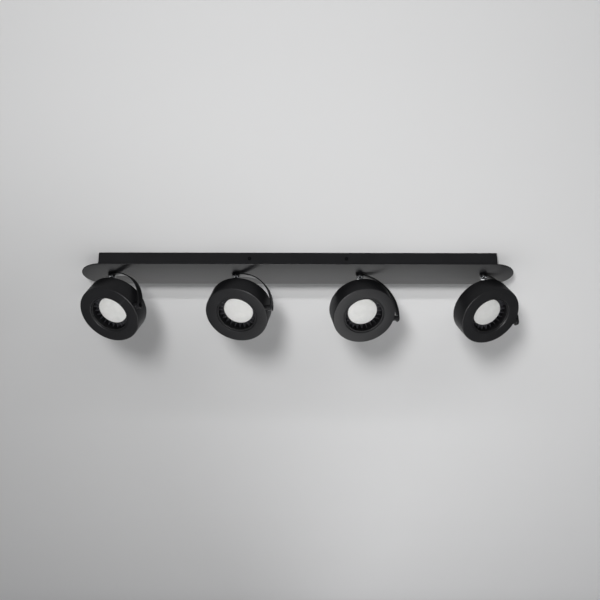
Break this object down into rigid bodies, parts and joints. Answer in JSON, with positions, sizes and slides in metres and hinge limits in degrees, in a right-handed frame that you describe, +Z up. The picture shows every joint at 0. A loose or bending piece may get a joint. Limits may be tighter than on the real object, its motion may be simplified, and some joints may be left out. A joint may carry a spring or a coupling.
{
  "type": "ceiling spot bar",
  "caption": "Ceiling spot bar: flat round-ended plate under a box canopy, carrying puck-shaped LED heads that swivel and tilt on curved strip arms.",
  "frame": {"origin": "middle of the two ceiling holes, at the centre of the ceiling face", "axes": "+X along the bar, +Z up into the ceiling, heads facing -Y at rest"},
  "size_m": [0.8111, 0.1226, 0.1438],
  "materials": {
    "black_coat": "matte black powder coat",
    "black_oxide": "black oxide",
    "galvanised": "zinc plated",
    "zinc_steel": "zinc plated",
    "chrome_plate": "polished chrome",
    "sink_anodised": "black anodised",
    "board_white": "white solder mask",
    "opal_diffuser": "opal",
    "grommet_rubber": "moulded",
    "earth_brass": "bright",
    "terminal_plastic": "moulded",
    "driver_plastic": "moulded",
    "lead_cover": "extruded"
  },
  "bodies": {
    "bar": {"ceiling_bracket": "galvanised", "canopy": "black_coat", "plate": "black_coat", "canopy_set_screws": "black_oxide", "supply_grommet": "grommet_rubber", "earth_screw": "earth_brass", "terminal_block": "terminal_plastic", "terminal_screws": "zinc_steel", "led_driver": "driver_plastic", "driver_screws": "zinc_steel", "supply_leads": "lead_cover", "lamp_leads": "lead_cover", "stud_nuts": "zinc_steel", "swivel_bush_1": "black_coat", "swivel_stud_1": "chrome_plate", "swivel_bush_2": "black_coat", "swivel_stud_2": "chrome_plate", "swivel_bush_3": "black_coat", "swivel_stud_3": "chrome_plate", "swivel_bush_4": "black_coat", "swivel_stud_4": "chrome_plate"},
    "arm_body_1": {"arm_1": "black_coat"},
    "head_1": {"housing_1": "black_coat", "rear_cover_1": "black_coat", "cover_screws_1": "black_oxide", "heat_sink_1": "sink_anodised", "led_board_1": "board_white", "diffuser_1": "opal_diffuser", "tilt_pin_1": "black_oxide", "tilt_spacer_1": "black_coat"},
    "arm_body_2": {"arm_2": "black_coat"},
    "head_2": {"housing_2": "black_coat", "rear_cover_2": "black_coat", "cover_screws_2": "black_oxide", "heat_sink_2": "sink_anodised", "led_board_2": "board_white", "diffuser_2": "opal_diffuser", "tilt_pin_2": "black_oxide", "tilt_spacer_2": "black_coat"},
    "arm_body_3": {"arm_3": "black_coat"},
    "head_3": {"housing_3": "black_coat", "rear_cover_3": "black_coat", "cover_screws_3": "black_oxide", "heat_sink_3": "sink_anodised", "led_board_3": "board_white", "diffuser_3": "opal_diffuser", "tilt_pin_3": "black_oxide", "tilt_spacer_3": "black_coat"},
    "arm_body_4": {"arm_4": "black_coat"},
    "head_4": {"housing_4": "black_coat", "rear_cover_4": "black_coat", "cover_screws_4": "black_oxide", "heat_sink_4": "sink_anodised", "led_board_4": "board_white", "diffuser_4": "opal_diffuser", "tilt_pin_4": "black_oxide", "tilt_spacer_4": "black_coat"}
  },
  "joints": [
    {"name": "pan_1", "type": "hinge", "parent": "bar", "child": "arm_body_1", "pos_m": [-0.345, 0, -0.0266], "axis": [0, 0, 1], "range_deg": [-144, 206]},
    {"name": "tilt_1", "type": "hinge", "parent": "arm_body_1", "child": "head_1", "pos_m": [-0.345, 0, -0.1032], "axis": [0.8572, -0.515, 0], "range_deg": [-55, 125]},
    {"name": "pan_2", "type": "hinge", "parent": "bar", "child": "arm_body_2", "pos_m": [-0.115, 0, -0.0266], "axis": [0, 0, 1], "range_deg": [-153, 197]},
    {"name": "tilt_2", "type": "hinge", "parent": "arm_body_2", "child": "head_2", "pos_m": [-0.115, 0, -0.1032], "axis": [0.9272, -0.3746, 0], "range_deg": [-57, 123]},
    {"name": "pan_3", "type": "hinge", "parent": "bar", "child": "arm_body_3", "pos_m": [0.115, 0, -0.0266], "axis": [0, 0, 1], "range_deg": [-193, 157]},
    {"name": "tilt_3", "type": "hinge", "parent": "arm_body_3", "child": "head_3", "pos_m": [0.115, 0, -0.1032], "axis": [0.9511, 0.309, 0], "range_deg": [-55, 125]},
    {"name": "pan_4", "type": "hinge", "parent": "bar", "child": "arm_body_4", "pos_m": [0.345, 0, -0.0266], "axis": [0, 0, 1], "range_deg": [-207, 143]},
    {"name": "tilt_4", "type": "hinge", "parent": "arm_body_4", "child": "head_4", "pos_m": [0.345, 0, -0.1032], "axis": [0.848, 0.5299, 0], "range_deg": [-52, 128]}
  ]
}
